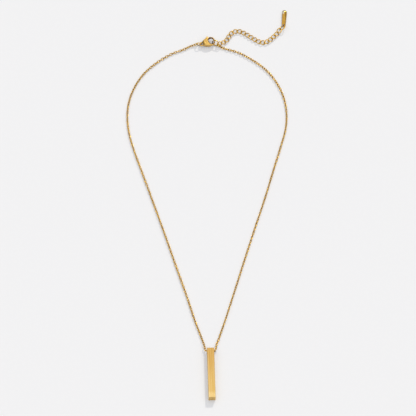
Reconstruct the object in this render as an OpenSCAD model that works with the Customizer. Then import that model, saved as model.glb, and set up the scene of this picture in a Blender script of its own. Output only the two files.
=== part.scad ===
// Bar pendant necklace, lying open on a flat surface.
// Millimetres. The bar lies along Y with its underside on Z = 0, and the
// origin is the centre of that underside. The neck loop lies towards +Y.

/* [Bar] */
// Length of the bar
bar_l = 31; // [20:0.5:45]
// Width and height of the square bar
bar_w = 4; // [3.4:0.1:6]
// Roundness of the bar's edges
bar_edge_r = 0.2; // [0.05:0.05:0.4]
// Diameter of the cross bore that the chain runs through
bore_d = 2; // [1.7:0.1:2.6]
// Metal left between the bore and the bar's far end
bore_wall = 0.5; // [0.3:0.05:1.2]
// Broken edge at both mouths of the bore
bore_break = 0.12; // [0.05:0.01:0.2]

/* [Fine chain] */
// Thickness of the fine cable chain as it lies
chain_d = 1.1; // [0.8:0.1:1.3]
// Outer width of one chain link
chain_link_w = 1.4; // [1.35:0.05:1.6]
// Wire of one chain link
chain_wire = 0.38; // [0.3:0.01:0.4]
// Spacing of the chain links
chain_pitch = 1.4; // [1.2:0.05:1.7]
// Free play between two links
chain_play = 0.06; // [0.02:0.01:0.1]
// Gap between the chain's run and its last link
chain_end_gap = 0.12; // [0.08:0.01:0.3]

/* [Clasp] */
// Length of the clasp's claw hole, along the clasp
claw_hole_d = 2.95; // [2.7:0.05:3.2]
// Width of the claw hole, across the clasp
claw_hole_w = 3.8; // [3.6:0.05:4]
// Width of the claw round its hole
claw_wall = 0.65; // [0.55:0.05:0.8]
// Distance from the claw hole to the eye at the tail
clasp_span = 5.6; // [5.3:0.1:6.2]
// Thickness of the clasp's shoulder
clasp_t = 2.5; // [2.2:0.1:3]
// Thickness of the claw at its nose
nose_t = 1.2; // [1:0.05:1.4]
// Outer diameter of the eye at the tail
eye_d = 2.6; // [2.3:0.05:2.8]
// Hole of the eye
eye_hole_d = 1.3; // [1.1:0.05:1.4]
// Thickness of the eye
eye_t = 0.6; // [0.5:0.05:0.8]
// Turn of the clasp from the X axis
clasp_turn = 17; // [5:1:25]
// Height of the clasp above the surface, as it leans on its rings
clasp_raise = 0.4; // [0.35:0.05:0.5]

/* [Clasp lever] */
// Thickness of the lever
lever_t = 1.4; // [1:0.05:1.5]
// Play of the lever on each side in its slot
lever_play = 0.08; // [0.05:0.01:0.15]
// Diameter of the rivet
rivet_d = 0.8; // [0.6:0.05:1]
// Radial play of the lever on the rivet
rivet_play = 0.04; // [0.02:0.01:0.06]
// Radial gap between the rivet and the clasp's cheeks
rivet_gap = 0.02; // [0.01:0.01:0.03]
// Height of the rivet's heads above the cheeks
rivet_proud = 0.03; // [0.01:0.01:0.04]
// Gap between the claw's tip and the lever's end, in degrees about the hole
mouth_gap = 2; // [1:0.5:4]

/* [Rings] */
// Outer diameter of the ring that the clasp hooks into
end_ring_d = 4.2; // [4:0.05:4.6]
// Wire of the ring that the clasp hooks into
end_ring_wire = 0.55; // [0.45:0.05:0.6]
// Outer diameter of the ring in the clasp's eye
tail_ring_d = 3.4; // [3.2:0.05:3.7]
// Wire of the ring in the clasp's eye
tail_ring_wire = 0.5; // [0.4:0.05:0.55]
// Outer diameter of the ring that holds the tag
tag_ring_d = 4; // [3.8:0.05:4.2]
// Wire of the ring that holds the tag
tag_ring_wire = 0.5; // [0.4:0.05:0.55]
// Opening left at the cut of each ring, in degrees
ring_cut = 3; // [1:0.5:6]

/* [Extender] */
// Number of links in the extender
extender_links = 18; // [8:1:18]
// Spacing of the extender's links
extender_pitch = 2.52; // [2.44:0.02:2.58]
// Outer width of one extender link
extender_w = 2.8; // [2.7:0.05:3]
// Wire of one extender link
extender_wire = 0.48; // [0.42:0.01:0.52]
// Free play between two extender links
extender_play = 0.18; // [0.12:0.01:0.2]
// Twist of each link's ends out of its plane
extender_roll = 48; // [44:1:56]

/* [Tag] */
// Length of the drop tag
tag_l = 11; // [9:0.5:12]
// Width of the drop at its broad end
tag_w = 2.9; // [2.6:0.1:3.4]
// Width of the drop at its eye
tag_neck_w = 2.1; // [2:0.05:2.4]
// Thickness of the drop's belly
tag_t = 1.4; // [1:0.1:1.8]
// Thickness of the drop at its eye
tag_eye_t = 0.55; // [0.45:0.05:0.7]
// Hole in the tag's eye
tag_hole_d = 1.4; // [1.25:0.05:1.5]

/* [Hidden] */
$fn = 48;
// Small lift that keeps the loose pieces off the surface
lift = 0.03;
// Overshoot of a cutting body
cut = 1;

// Colours as seen
gold = [0.85, 0.67, 0.36];
bright_gold = [0.93, 0.78, 0.47];
deep_gold = [0.72, 0.54, 0.26];

// Worked-out sizes of the bar
bar_top = bar_l / 2;
bore_y = bar_top - bore_wall - bore_d / 2;
bore_z = bar_w / 2;

// The chain rests low in the bore and is drawn towards the loop
bore_slack = (bore_d - chain_d) / 2;
slack_share = 0.45;
thread_y = bore_y + slack_share * bore_slack;
thread_z = bore_z - slack_share * bore_slack;
thread_gap = 0.05;
floor_z = chain_d / 2 + lift;

// Half lengths along the wire's centre, of a chain link and an extender link
chain_reach = (chain_pitch + chain_wire + chain_play) / 2;
chain_half_w = (chain_link_w - chain_wire) / 2;
extender_reach = (extender_pitch + extender_wire + extender_play) / 2;
extender_half_w = (extender_w - extender_wire) / 2;

// The clasp's own frame has its claw hole at the origin and its nose at +X.
// It lies at the far end of the loop, a little to one side of the bore.
loop_l = 196;
clasp_across = 6;
clasp_place = [clasp_across, bore_y + loop_l];
claw_hole_r = claw_hole_d / 2;
claw_r = claw_hole_r + claw_wall;
claw_stretch = claw_hole_w - claw_hole_d;
claw_half_w = claw_r + claw_stretch / 2;
clasp_z = clasp_t / 2 + rivet_proud + clasp_raise;
slot_t = lever_t + 2 * lever_play;

// The lever turns on the rivet, on the spine side of the shoulder
rivet_at = [-0.52 * clasp_span, -0.15 * claw_half_w];
hub_wall = 0.45;
hub_r = rivet_d / 2 + hub_wall;
hub_room = 0.1;
lever_inset = 0.05;
tip_angle = 70;
cheek_angle = 128;
arm_end_angle = 158;

// Half thickness along the clasp: share of its span, then share of the thickness
eye_share = eye_t / clasp_t / 2;
nose_share = nose_t / clasp_t / 2;
clasp_profile = [
    [-1.30, eye_share],
    [-0.96, eye_share],
    [-0.72, 0.5],
    [-0.20, 0.5],
    [0.15, nose_share],
    [0.60, nose_share]
];

// Outline of the shoulder: share of the span along, share of the claw's half width across
shoulder_outline = [
    [0.00, -0.96],
    [-0.28, -0.96],
    [-0.60, -0.74],
    [-0.95, -0.36],
    [-0.95, 0.38],
    [-0.80, 0.58],
    [-0.40, 0.98],
    [-0.26, 0.98],
    [0.00, 0.50]
];

// Room that the lever sweeps in the shoulder, in the same shares
slot_outline = [
    [-0.72, -0.20],
    [-0.79, 1.10],
    [-0.10, 1.40],
    [0.06, 0.50],
    [-0.20, -0.42],
    [-0.52, -0.55]
];

// Outlines of the lever's web and of its thumb tab, in the same shares
web_outline = [
    [-0.66, -0.05],
    [-0.56, 0.74],
    [-0.40, 0.94],
    [-0.24, 0.76],
    [-0.30, 0.20],
    [-0.38, -0.25]
];
tab_outline = [
    [-0.46, 0.80],
    [-0.34, 1.24],
    [-0.18, 1.24],
    [-0.13, 1.08],
    [-0.22, 0.76]
];
tab_tip = [-0.25, 1.20];
tab_tip_r = 0.42;

// Level line, lean and seat of each ring: the far side of a ring leans up
end_ring_turn = clasp_turn - 45;
end_ring_lean = 67;
hook_gap = 0.25;
end_ring_seat = claw_hole_r - end_ring_wire / 2 - hook_gap;
end_ring_r = (end_ring_d - end_ring_wire) / 2;
tail_ring_turn = clasp_turn - 22;
tail_ring_lean = 94;
tail_ring_seat = -0.1;
tail_ring_r = (tail_ring_d - tail_ring_wire) / 2;
tag_ring_turn = 48;
tag_ring_lean = -42;
tag_ring_r = (tag_ring_d - tag_ring_wire) / 2;
end_ring_cut_at = 60;
tail_ring_cut_at = 90;
tag_ring_cut_at = 80;

end_ring_place = concat(
    clasp_place + (end_ring_seat + end_ring_r) * [cos(end_ring_turn), sin(end_ring_turn)],
    end_ring_r * sin(end_ring_lean) + end_ring_wire / 2 + lift
);
tail_ring_place = concat(
    clasp_place
        - (clasp_span - tail_ring_seat) * [cos(clasp_turn), sin(clasp_turn)]
        - tail_ring_r * [cos(tail_ring_turn), sin(tail_ring_turn)],
    tail_ring_r * sin(tail_ring_lean) + tail_ring_wire / 2 + lift
);

// Where the pieces hang on each ring, as angles round it from its level line
left_end_angle = 196;
left_end_turn = 194;
left_end_slope = -14;
right_end_angle = -28;
right_end_turn = -28;
right_end_slope = -20;
extender_angle = 10;
extender_turn = 18;
last_link_angle = 160;
tag_angle = 20;
tag_turn = 84.5;
tag_roll = 18;

// How a strand leaves the bar: out from its side, on past the bore, share of the drop
leave_points = [
    [0, 0, 0],
    [0.85, 0.9, 0.16],
    [1.15, 2.8, 0.42],
    [1.6, 5, 0.84]
];

// Route of each strand from the bore to the clasp, with points chosen by hand
// along the strand, across and up in shares of the loop's length
left_points = [
    [-0.0225, 0.041],
    [-0.028, 0.059],
    [-0.0355, 0.082],
    [-0.0635, 0.184],
    [-0.093, 0.2865],
    [-0.122, 0.3885],
    [-0.152, 0.4905],
    [-0.1825, 0.5925],
    [-0.2005, 0.653],
    [-0.2135, 0.709],
    [-0.2175, 0.76],
    [-0.213, 0.8055],
    [-0.193, 0.8615],
    [-0.1645, 0.9045],
    [-0.1285, 0.937],
    [-0.083, 0.9655],
    [-0.0455, 0.98]
];
right_points = [
    [0.024, 0.041],
    [0.03, 0.0585],
    [0.038, 0.0815],
    [0.071, 0.1835],
    [0.1035, 0.2855],
    [0.1365, 0.3875],
    [0.17, 0.489],
    [0.201, 0.591],
    [0.2215, 0.657],
    [0.2365, 0.7115],
    [0.241, 0.76],
    [0.236, 0.806],
    [0.2155, 0.8625],
    [0.1855, 0.9055],
    [0.149, 0.9375],
    [0.104, 0.9655]
];

// Route of the extender from the end ring's centre, with chosen points: across
// and up in spacings of its links, and its height in heights of a lying link
extender_points = [
    [1.34, 0, 1.85],
    [2.08, 0.36, 1.1],
    [2.74, 1.14, 1],
    [3.2, 2.04, 1],
    [3.88, 2.82, 1],
    [4.76, 3.14, 1],
    [5.68, 3.02, 1],
    [6.56, 2.52, 1],
    [7.46, 1.9, 1],
    [9.12, 0.68, 1],
    [10.02, 0.16, 1],
    [10.94, -0.02, 1],
    [11.86, 0.36, 1],
    [12.7, 1.06, 1],
    [13.48, 1.8, 1],
    [14.22, 2.56, 1.06],
    [14.68, 3.48, 1.6],
    [14.98, 4.26, 2.04],
    [15.28, 5.06, 2.44]
];

link_name = function (i) str("extender_link_", i < 10 ? "0" : "", i);
LINK_NODES = [for (i = [1:extender_links]) link_name(i)];

// Rectangle with rounded corners, centred
module rounded_rect(w, h, r) {
    square([w - 2 * r, h], center = true);
    square([w, h - 2 * r], center = true);
    for (x = [-1, 1], y = [-1, 1])
        translate([x * (w / 2 - r), y * (h / 2 - r)])
            circle(r);
}

module bar() {
    color(gold)
        translate([0, 0, bar_w / 2])
            difference() {
                intersection() {
                    linear_extrude(bar_w, center = true)
                        rounded_rect(bar_w, bar_l, bar_edge_r);
                    rotate([90, 0, 0])
                        linear_extrude(bar_l, center = true)
                            rounded_rect(bar_w, bar_w, bar_edge_r);
                    rotate([90, 0, 90])
                        linear_extrude(bar_w, center = true)
                            rounded_rect(bar_l, bar_w, bar_edge_r);
                }
                translate([0, bore_y, 0])
                    rotate([0, 90, 0])
                        cylinder(d = bore_d, h = bar_w + 2 * cut, center = true);
                for (side = [-1, 1])
                    translate([side * bar_w / 2, bore_y, 0])
                        rotate([0, side * 90, 0])
                            translate([0, 0, -bore_break])
                                cylinder(
                                    r1 = bore_d / 2,
                                    r2 = bore_d / 2 + 2 * bore_break,
                                    h = 2 * bore_break
                                );
            }
}

// Point on a ring: place, turn of its level line, lean, radius, angle round it
function ring_point(place, turn, lean, r, angle) =
    place + r * [
        cos(angle) * cos(turn) - sin(angle) * cos(lean) * sin(turn),
        cos(angle) * sin(turn) + sin(angle) * cos(lean) * cos(turn),
        sin(angle) * sin(lean)
    ];

// Direction of a ring's wire at an angle round it
function ring_way(turn, lean, angle) = [
    -sin(angle) * cos(turn) - cos(angle) * cos(lean) * sin(turn),
    -sin(angle) * sin(turn) + cos(angle) * cos(lean) * cos(turn),
    cos(angle) * sin(lean)
];

// Unit vector from its turn about Z and its slope above the surface
function heading(turn, slope) =
    [cos(slope) * cos(turn), cos(slope) * sin(turn), sin(slope)];

function unit(v) = v / norm(v);

// Roll at which a link that lies along a direction stands square to a ring's wire
function square_roll(way, wire_way) =
    let (level = unit([-way[1], way[0], 0]))
    atan2(-wire_way * level, wire_way * cross(way, level));

// Smooth curve through points: its slope at a point and its place between two
function slope_at(p, i) =
    let (last = len(p) - 1)
    i == 0 ? unit(p[1] - p[0]) :
    i == last ? unit(p[last] - p[last - 1]) :
    let (before = norm(p[i] - p[i - 1]))
    let (after = norm(p[i + 1] - p[i]))
    (unit(p[i] - p[i - 1]) * after + unit(p[i + 1] - p[i]) * before) / (before + after);

function between(p, i, u) =
    let (reach = norm(p[i + 1] - p[i]))
    (2 * u ^ 3 - 3 * u ^ 2 + 1) * p[i]
    + (u ^ 3 - 2 * u ^ 2 + u) * reach * slope_at(p, i)
    + (3 * u ^ 2 - 2 * u ^ 3) * p[i + 1]
    + (u ^ 3 - u ^ 2) * reach * slope_at(p, i + 1);

// The curve as points no further apart than about a step
function curve(p, step) = concat(
    [
        for (i = [0:len(p) - 2])
            let (parts = max(1, round(norm(p[i + 1] - p[i]) / step)))
            for (k = [0:parts - 1])
                between(p, i, k / parts)
    ],
    [p[len(p) - 1]]
);

// Length along a line of points, up to each of them
function lengths(q) = [
    for (i = 0, s = 0; i < len(q); s = s + (i < len(q) - 1 ? norm(q[i + 1] - q[i]) : 0), i = i + 1)
        s
];

// Solid swept along rings of points; a closed one joins its last ring to its first
module skin(rings, closed) {
    n = len(rings);
    sides = len(rings[0]);
    walls = [
        for (i = [0:n - (closed ? 1 : 2)], j = [0:sides - 1])
            let (k = (i + 1) % n)
            let (m = (j + 1) % sides)
            each [
                [i * sides + j, k * sides + j, k * sides + m],
                [i * sides + j, k * sides + m, i * sides + m]
            ]
    ];
    ends = closed ? [] : [
        [for (j = [0:sides - 1]) j],
        [for (j = [sides - 1:-1:0]) (n - 1) * sides + j]
    ];
    polyhedron(
        points = [for (ring = rings) for (p = ring) p],
        faces = concat(walls, ends)
    );
}

// Rings of a round tube along a line of points that stays near level
function tube_rings(q, r, sides) = [
    for (i = [0:len(q) - 1])
        let (along = unit(q[min(i + 1, len(q) - 1)] - q[max(i - 1, 0)]))
        let (across = unit(cross([0, 0, 1], along)))
        let (up = cross(along, across))
        [
            for (j = [0:sides - 1])
                let (a = (j + 0.5) * 360 / sides)
                q[i] + r * (cos(a) * across + sin(a) * up)
        ]
];

// The centre of a twisted link's wire, and the rings round it
function link_wire_point(t) =
    let (roll = extender_roll * cos(t))
    [
        extender_reach * cos(t),
        extender_half_w * sin(t) * cos(roll),
        extender_half_w * sin(t) * sin(roll)
    ];
link_segments = 16;
link_sides = 6;
link_step = 5;
link_rings = [
    for (i = [0:link_segments - 1])
        let (t = i * 360 / link_segments)
        let (p = link_wire_point(t))
        let (along = unit(link_wire_point(t + link_step) - link_wire_point(t - link_step)))
        let (out = unit(p - (p * along) * along))
        let (side = cross(along, out))
        [
            for (j = [0:link_sides - 1])
                let (a = j * 360 / link_sides)
                p + extender_wire / 2 * (cos(a) * out + sin(a) * side)
        ]
];

// The strand's points beside the bar follow the bar, the rest are the chosen ones
function near_bar(side) = concat(
    [[side * thread_gap, thread_y, thread_z]],
    [
        for (p = leave_points)
            [
                side * (bar_w / 2 + p[0]),
                thread_y + p[1],
                thread_z - p[2] * (thread_z - floor_z)
            ]
    ]
);
function on_floor(p) = [for (q = p) [q[0] * loop_l, q[1] * loop_l + bore_y, floor_z]];

// Both ends of the fine chain: where the last link hangs and where the run stops
left_end_hook = ring_point(
    tail_ring_place, tail_ring_turn, tail_ring_lean, tail_ring_r, left_end_angle
);
left_end_way = heading(left_end_turn, left_end_slope);
left_end_link = left_end_hook
    + (chain_reach - (chain_wire + tail_ring_wire) / 2 - chain_play) * left_end_way;
left_end_roll = square_roll(
    left_end_way, ring_way(tail_ring_turn, tail_ring_lean, left_end_angle)
);
right_end_hook = ring_point(
    end_ring_place, end_ring_turn, end_ring_lean, end_ring_r, right_end_angle
);
right_end_way = heading(right_end_turn, right_end_slope);
right_end_link = right_end_hook
    + (chain_reach - (chain_wire + end_ring_wire) / 2 - chain_play) * right_end_way;
right_end_roll = square_roll(
    right_end_way, ring_way(end_ring_turn, end_ring_lean, right_end_angle)
);
end_link_reach = chain_reach + chain_wire / 2 + chain_end_gap;
end_straight = 2.5;

// The run's last point is above the surface, and the one before it is on it
function run_end(link, way, turn) =
    let (stop = link + end_link_reach * way)
    let (flat = stop + end_straight * heading(turn, 0))
    [[flat[0], flat[1], floor_z], stop];

left_route = concat(
    near_bar(-1),
    on_floor(left_points),
    run_end(left_end_link, left_end_way, left_end_turn)
);
right_route = concat(
    near_bar(1),
    on_floor(right_points),
    run_end(right_end_link, right_end_way, right_end_turn)
);
strand_step = 7;
strand_sides = 8;

// The extender's joints lie one spacing apart along its route
lie_share = 0.42;
link_lie = extender_half_w * lie_share + extender_wire / 2 + lift;
extender_hook = ring_point(
    end_ring_place, end_ring_turn, end_ring_lean, end_ring_r, extender_angle
);
extender_route = concat(
    [extender_hook - (end_ring_wire + extender_play) / 2 * heading(extender_turn, 0)],
    [
        for (p = extender_points)
            [
                end_ring_place[0] + p[0] * extender_pitch,
                end_ring_place[1] + p[1] * extender_pitch,
                p[2] * link_lie
            ]
    ]
);
extender_line = curve(extender_route, 0.3);
extender_lengths = lengths(extender_line);
function extender_joint(i) = [
    for (axis = [0:2])
        lookup(
            i * extender_pitch,
            [for (k = [0:len(extender_line) - 1]) [extender_lengths[k], extender_line[k][axis]]]
        )
];

// The tag's ring hangs in the last link, and the tag on the ring
last_joint = extender_joint(extender_links);
last_way = unit(last_joint - extender_joint(extender_links - 1));
tag_ring_hook = last_joint - (tag_ring_wire + extender_play) / 2 * last_way;
tag_ring_place = tag_ring_hook
    - ring_point([0, 0, 0], tag_ring_turn, tag_ring_lean, tag_ring_r, last_link_angle);
tag_hook = ring_point(
    tag_ring_place, tag_ring_turn, tag_ring_lean, tag_ring_r, tag_angle
);
tag_reach = tag_l - (tag_neck_w + tag_w) / 2;
tag_seat = 0.08;
tag_belly_z = tag_t / 2 + 3 * lift;
tag_pitch = asin((tag_hook[2] - tag_belly_z) / tag_reach);

// Places a piece by its centre, its turn about Z, its slope and its own roll
module laid(place, turn, slope, roll) {
    translate(place)
        rotate([0, 0, turn])
            rotate([0, -slope, 0])
                rotate([roll, 0, 0])
                    children();
}

// Lies along the turn and slope of a direction
module along(place, way, roll) {
    laid(place, atan2(way[1], way[0]), asin(way[2] / norm(way)), roll)
        children();
}

// Wire ring, cut once and closed up to a hairline; the cut is at an angle round it
module jump_ring(r, wire, cut_at) {
    rotate([0, 0, cut_at + ring_cut / 2])
        rotate_extrude(angle = 360 - ring_cut)
            translate([r, 0])
                circle(d = wire);
}

module chain_left() {
    color(gold)
        skin(tube_rings(curve(left_route, strand_step), chain_d / 2, strand_sides), false);
}

module chain_right() {
    color(gold)
        skin(tube_rings(curve(right_route, strand_step), chain_d / 2, strand_sides), false);
}

// One oval link of the fine chain, its long way along X
module chain_link() {
    straight = chain_reach - chain_half_w;
    for (end = [0, 180])
        rotate([0, 0, end])
            translate([straight, 0, 0])
                rotate([0, 0, -90])
                    rotate_extrude(angle = 180)
                        translate([chain_half_w, 0])
                            circle(d = chain_wire);
    for (side = [-1, 1])
        translate([0, side * chain_half_w, 0])
            rotate([0, 90, 0])
                cylinder(d = chain_wire, h = 2 * straight, center = true);
}

module chain_end_left() {
    color(deep_gold)
        laid(left_end_link, left_end_turn, left_end_slope, left_end_roll)
            chain_link();
}

module chain_end_right() {
    color(deep_gold)
        laid(right_end_link, right_end_turn, right_end_slope, right_end_roll)
            chain_link();
}

// Points given in shares of the clasp's span and of its claw
function in_clasp(p) = [p[0] * clasp_span, p[1] * claw_half_w];

module in_clasp_place() {
    translate([clasp_place[0], clasp_place[1], clasp_z])
        rotate([0, 0, clasp_turn])
            children();
}

// Wedge about the claw hole between two angles
module wedge(from, to) {
    far = 3 * claw_r;
    middle = (from + to) / 2;
    polygon([
        [0, 0],
        far * [cos(from), sin(from)],
        far * [cos(middle), sin(middle)],
        far * [cos(to), sin(to)]
    ]);
}

// Slab about the claw hole: as long as a circle of its radius, and wider across
module claw_slab(r, h) {
    linear_extrude(h, center = true) {
        for (side = [-1, 1])
            translate([0, side * claw_stretch / 2])
                circle(r);
        square([2 * r, claw_stretch], center = true);
    }
}

module clasp_blank() {
    claw_slab(claw_r, clasp_t);
    linear_extrude(clasp_t, center = true)
        polygon([for (p = shoulder_outline) in_clasp(p)]);
    translate([-clasp_span, 0, 0])
        cylinder(d = eye_d, h = clasp_t, center = true);
}

module clasp_side() {
    polygon(concat(
        [for (p = clasp_profile) [p[0] * clasp_span, p[1] * clasp_t]],
        [
            for (i = [len(clasp_profile) - 1:-1:0])
                let (p = clasp_profile[i])
                [p[0] * clasp_span, -p[1] * clasp_t]
        ]
    ));
}

module clasp_body() {
    color(bright_gold)
        in_clasp_place()
            difference() {
                intersection() {
                    clasp_blank();
                    rotate([90, 0, 0])
                        linear_extrude(4 * claw_r, center = true)
                            clasp_side();
                }
                claw_slab(claw_hole_r, clasp_t + 2 * cut);
                linear_extrude(clasp_t + 2 * cut, center = true)
                    wedge(tip_angle, cheek_angle);
                linear_extrude(slot_t, center = true)
                    polygon([for (p = slot_outline) in_clasp(p)]);
                translate(rivet_at)
                    cylinder(r = hub_r + hub_room, h = slot_t, center = true);
                translate(rivet_at)
                    cylinder(
                        r = rivet_d / 2 + rivet_gap,
                        h = clasp_t + 2 * cut,
                        center = true
                    );
                translate([-clasp_span, 0, 0])
                    cylinder(d = eye_hole_d, h = clasp_t + 2 * cut, center = true);
            }
}

// The gate across the mouth, the hub on the rivet, the web and the thumb tab
module lever_solid() {
    intersection() {
        claw_slab(claw_r - lever_inset, lever_t);
        linear_extrude(lever_t, center = true)
            wedge(tip_angle + mouth_gap, arm_end_angle);
    }
    translate(rivet_at)
        cylinder(r = hub_r, h = lever_t, center = true);
    for (outline = [web_outline, tab_outline])
        linear_extrude(lever_t, center = true)
            polygon([for (p = outline) in_clasp(p)]);
    translate(in_clasp(tab_tip))
        cylinder(r = tab_tip_r, h = lever_t, center = true);
}

module clasp_lever() {
    color(gold)
        in_clasp_place()
            difference() {
                lever_solid();
                claw_slab(claw_hole_r, lever_t + 2 * cut);
                translate(rivet_at)
                    cylinder(
                        r = rivet_d / 2 + rivet_play,
                        h = lever_t + 2 * cut,
                        center = true
                    );
            }
}

module clasp_rivet() {
    color(bright_gold)
        in_clasp_place()
            translate(rivet_at)
                cylinder(d = rivet_d, h = clasp_t + 2 * rivet_proud, center = true);
}

module tail_ring() {
    color(gold)
        laid(tail_ring_place, tail_ring_turn, 0, tail_ring_lean)
            jump_ring(tail_ring_r, tail_ring_wire, tail_ring_cut_at);
}

module end_ring() {
    color(gold)
        laid(end_ring_place, end_ring_turn, 0, end_ring_lean)
            jump_ring(end_ring_r, end_ring_wire, end_ring_cut_at);
}

module extender_link(i) {
    start = extender_joint(i - 1);
    stop = extender_joint(i);
    color(gold)
        along((start + stop) / 2, stop - start, 0)
            skin(link_rings, true);
}

module tag_ring() {
    color(gold)
        laid(tag_ring_place, tag_ring_turn, 0, tag_ring_lean)
            jump_ring(tag_ring_r, tag_ring_wire, tag_ring_cut_at);
}

// Disc with two domed faces
module lens(r, t) {
    ball = (r ^ 2 + (t / 2) ^ 2) / t;
    intersection() {
        translate([0, 0, t / 2 - ball])
            sphere(ball);
        translate([0, 0, ball - t / 2])
            sphere(ball);
    }
}

module tag() {
    color(deep_gold)
        laid(
            tag_hook + tag_seat * heading(tag_turn, -tag_pitch),
            tag_turn,
            -tag_pitch,
            tag_roll
        )
            difference() {
                hull() {
                    translate([tag_reach, 0, 0])
                        lens(tag_w / 2, tag_t, $fn = 32);
                    cylinder(d = tag_neck_w, h = tag_eye_t, center = true, $fn = 32);
                }
                cylinder(d = tag_hole_d, h = tag_t + 2 * cut, center = true);
            }
}

bar();
chain_left();
chain_right();
chain_end_left();
chain_end_right();
clasp_body();
clasp_lever();
clasp_rivet();
tail_ring();
end_ring();
for (i = [1:extender_links])
    extender_link(i);
tag_ring();
tag();
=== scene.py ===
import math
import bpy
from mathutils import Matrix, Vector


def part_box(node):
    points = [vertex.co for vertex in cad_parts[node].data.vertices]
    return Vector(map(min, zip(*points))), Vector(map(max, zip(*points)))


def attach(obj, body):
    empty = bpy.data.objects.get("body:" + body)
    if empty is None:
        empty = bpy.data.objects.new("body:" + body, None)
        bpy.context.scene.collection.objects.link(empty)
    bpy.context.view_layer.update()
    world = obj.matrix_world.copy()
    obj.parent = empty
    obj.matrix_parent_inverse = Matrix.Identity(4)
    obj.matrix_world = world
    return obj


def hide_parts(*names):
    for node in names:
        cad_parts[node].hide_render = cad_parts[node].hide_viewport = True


bl_info = {
    "name": "Bar Pendant Necklace",
    "version": (1, 0, 0),
    "blender": (4, 5, 0),
    "location": "View3D > Sidebar > Necklace",
    "description": "Finishes a bar pendant necklace that lies open on a flat surface",
    "category": "Object",
}

import bmesh
import bpy
from mathutils import Euler, Matrix, Vector

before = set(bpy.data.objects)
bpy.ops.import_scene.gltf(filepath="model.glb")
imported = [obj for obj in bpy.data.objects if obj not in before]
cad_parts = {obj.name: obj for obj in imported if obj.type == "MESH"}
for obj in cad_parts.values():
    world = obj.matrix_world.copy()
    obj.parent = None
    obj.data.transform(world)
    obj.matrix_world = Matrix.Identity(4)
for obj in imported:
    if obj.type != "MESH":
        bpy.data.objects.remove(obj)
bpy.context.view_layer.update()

MM = 0.001

# Sizes and places, in millimetres and degrees unless a comment says otherwise

# The bar, with the middle of its cross bore and the chain's place in it, pulled to its upper wall
BAR_L = 31.0
BAR_W = 4.0
BORE_Y = 14.0
THREAD_Y = 14.2025
THREAD_Z = 1.7975

# How a strand leaves the bar: out from its side, on along it, and its share of the way down
LEAVE = [(0, 0, 0), (0.85, 0.9, 0.16), (1.15, 2.8, 0.42), (1.6, 5, 0.84)]

# The loop from the bore to the clasp, and the points that its two strands follow,
# across and up in shares of the loop's length
LOOP_L = 196.0
LEFT = [
    (-0.0225, 0.041), (-0.028, 0.059), (-0.0355, 0.082), (-0.0635, 0.184),
    (-0.093, 0.2865), (-0.122, 0.3885), (-0.152, 0.4905), (-0.1825, 0.5925),
    (-0.2005, 0.653), (-0.2135, 0.709), (-0.2175, 0.76), (-0.213, 0.8055),
    (-0.193, 0.8615), (-0.1645, 0.9045), (-0.1285, 0.937), (-0.083, 0.9655),
    (-0.0455, 0.98),
]
RIGHT = [
    (0.024, 0.041), (0.03, 0.0585), (0.038, 0.0815), (0.071, 0.1835),
    (0.1035, 0.2855), (0.1365, 0.3875), (0.17, 0.489), (0.201, 0.591),
    (0.2215, 0.657), (0.2365, 0.7115), (0.241, 0.76), (0.236, 0.806),
    (0.2155, 0.8625), (0.1855, 0.9055), (0.149, 0.9375), (0.104, 0.9655),
]

# The clasp: the middle of its claw hole, its turn, the way from the hole to the eye, the
# hole's half length and half width, and how its rings lie off the ends of hole and eye
CLAW = Vector((6.0, 210.0))
CLASP_TURN = 17.0
CLASP_SPAN = 5.6
CLAW_R = 1.475
CLAW_HALF_W = 1.9
HOOK_GAP = 0.25
TAIL_SEAT = -0.1

# How each ring turns and leans, and the place of its cut round it, in degrees
END_RING = {"turn": CLASP_TURN - 45, "lean": 67.0, "cut": 60.0}
TAIL_RING = {"turn": CLASP_TURN - 22, "lean": 94.0, "cut": 90.0}
TAG_RING = {"turn": 48.0, "lean": -42.0, "cut": 80.0}

# Where each end link holds its ring, as an angle round it, and how that link lies
LEFT_END = {"angle": 196.0, "turn": 194.0, "slope": -14.0}
RIGHT_END = {"angle": -28.0, "turn": -28.0, "slope": -20.0}

# The fine links' play in each other, the strand's straight run to an end link and its level
# run before that, the links over which the roll eases in, and the links in one sway of twist
LINK_PLAY = 0.06
END_RUN = 0.8
END_STRAIGHT = 2.5
END_LINKS = 5
TWIST_LINKS = 44

# A link's roll when the links lie crossed on the surface, in degrees
CROSS_ROLL = 45.0

# How far the pieces, and the fine chain, stay above the surface
LIFT = 0.03
CHAIN_LIFT = LIFT / 3

# The extender's route from the end ring's centre, in spacings of its links, and
# its height in heights of a lying link
EXTENDER = [
    (1.34, 0, 1.85), (2.08, 0.36, 1.1), (2.74, 1.14, 1), (3.2, 2.04, 1),
    (3.88, 2.82, 1), (4.76, 3.14, 1), (5.68, 3.02, 1), (6.56, 2.52, 1),
    (7.46, 1.9, 1), (9.12, 0.68, 1), (10.02, 0.16, 1), (10.94, -0.02, 1),
    (11.86, 0.36, 1), (12.7, 1.06, 1), (13.48, 1.8, 1), (14.22, 2.56, 1.06),
    (14.68, 3.48, 1.6), (14.98, 4.26, 2.04), (15.28, 5.06, 2.44),
]

# The extender's links, their play, where the first holds the end ring and which way it runs,
# where the last holds the tag's ring, and the share of a link's half width that it lies up
EXTENDER_LINKS = 18
EXTENDER_PLAY = 0.18
EXTENDER_ANGLE = 10.0
EXTENDER_TURN = 18.0
LAST_LINK_ANGLE = 160.0
LIE_SHARE = 0.42

# The tag's turn, and the middle and half sizes of the painted highlight, a pale oval at its far end
TAG_TURN = 84.5
TAG_HIGHLIGHT_MIDDLE = Vector((47.35, 227.4))
TAG_HIGHLIGHT_SIZES = (1.25, 0.55)

# Steps between the points of a strand and of the extender's route
STRAND_STEP = 0.4
ROUTE_STEP = 0.3

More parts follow.
